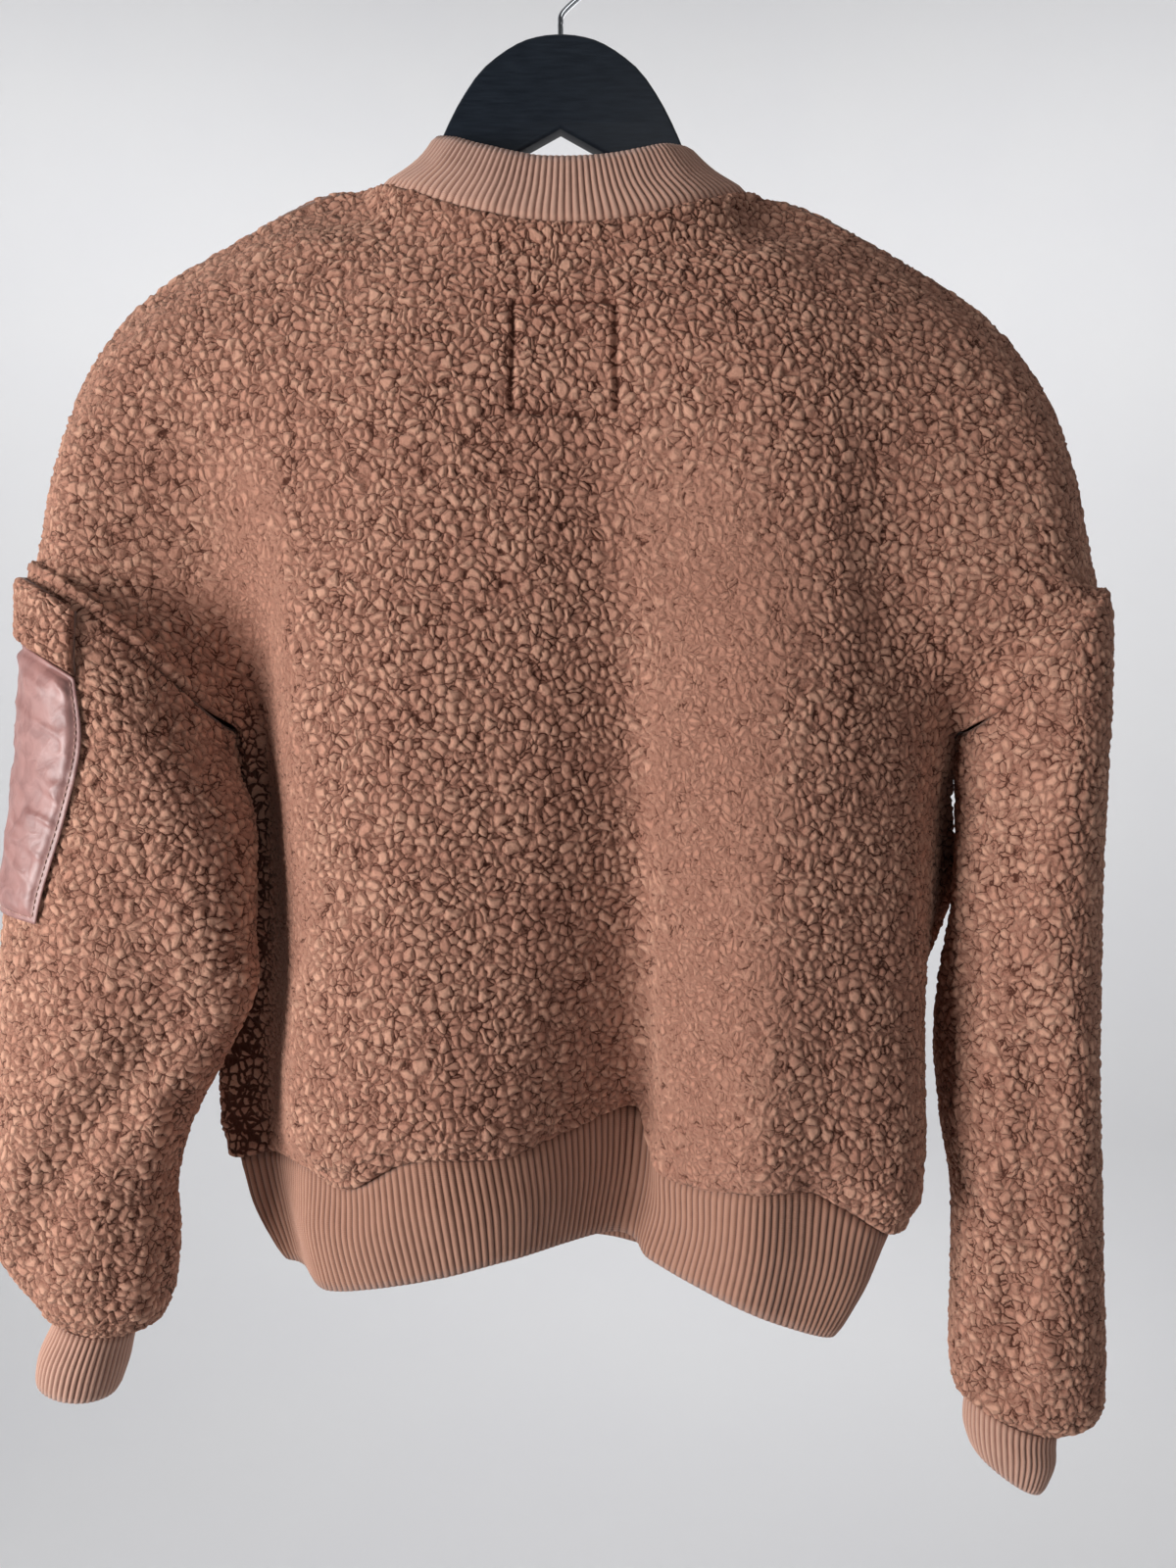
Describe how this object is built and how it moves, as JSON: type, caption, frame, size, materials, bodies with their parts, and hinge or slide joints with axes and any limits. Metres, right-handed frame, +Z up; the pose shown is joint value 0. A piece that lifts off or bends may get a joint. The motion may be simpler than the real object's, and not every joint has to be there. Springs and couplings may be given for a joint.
{
  "type": "fleece jacket on a wooden hanger",
  "caption": "Cropped dusty rose teddy fleece jacket with rib collar, cuffs and hem, a satin sleeve pocket and a closed front zip, hanging on a black wooden hanger.",
  "frame": {"origin": "the inside top of the hanger hook, where the rail holds it", "axes": "+Z up; +X to the right as the back of the jacket is seen; +Y towards the front of the jacket, so the back faces -Y"},
  "size_m": [0.6789, 0.1904, 0.9655],
  "materials": {
    "fleece": "curled polyester teddy pile, matt",
    "rib": "ribbed polyester knit, matt",
    "satin": "nylon satin weave, soft sheen",
    "brass": "plated zip metal, light satin polish",
    "wood": "black painted wood, satin",
    "steel": "chromed steel wire"
  },
  "bodies": {
    "jacket": {"back": "fleece", "front_left": "fleece", "front_right": "fleece", "sleeve_left": "fleece", "sleeve_right": "fleece", "hem_rib": "rib", "collar_rib": "rib", "cuff_left": "rib", "cuff_right": "rib", "pocket_flap": "fleece", "pocket_panel": "satin", "zip_tape_left": "satin", "zip_tape_right": "satin", "zip_chain": "brass", "zip_slider": "brass", "hanger_wood": "wood", "hanger_hook": "steel"},
    "pull_tab": {"zip_pull": "brass"}
  },
  "joints": [
    {"name": "pull_tab_hinge", "type": "hinge", "parent": "jacket", "child": "pull_tab", "pos_m": [0.004, 0.06278, -0.21359], "axis": [1, 0, 0], "range_deg": [0, 160]}
  ]
}
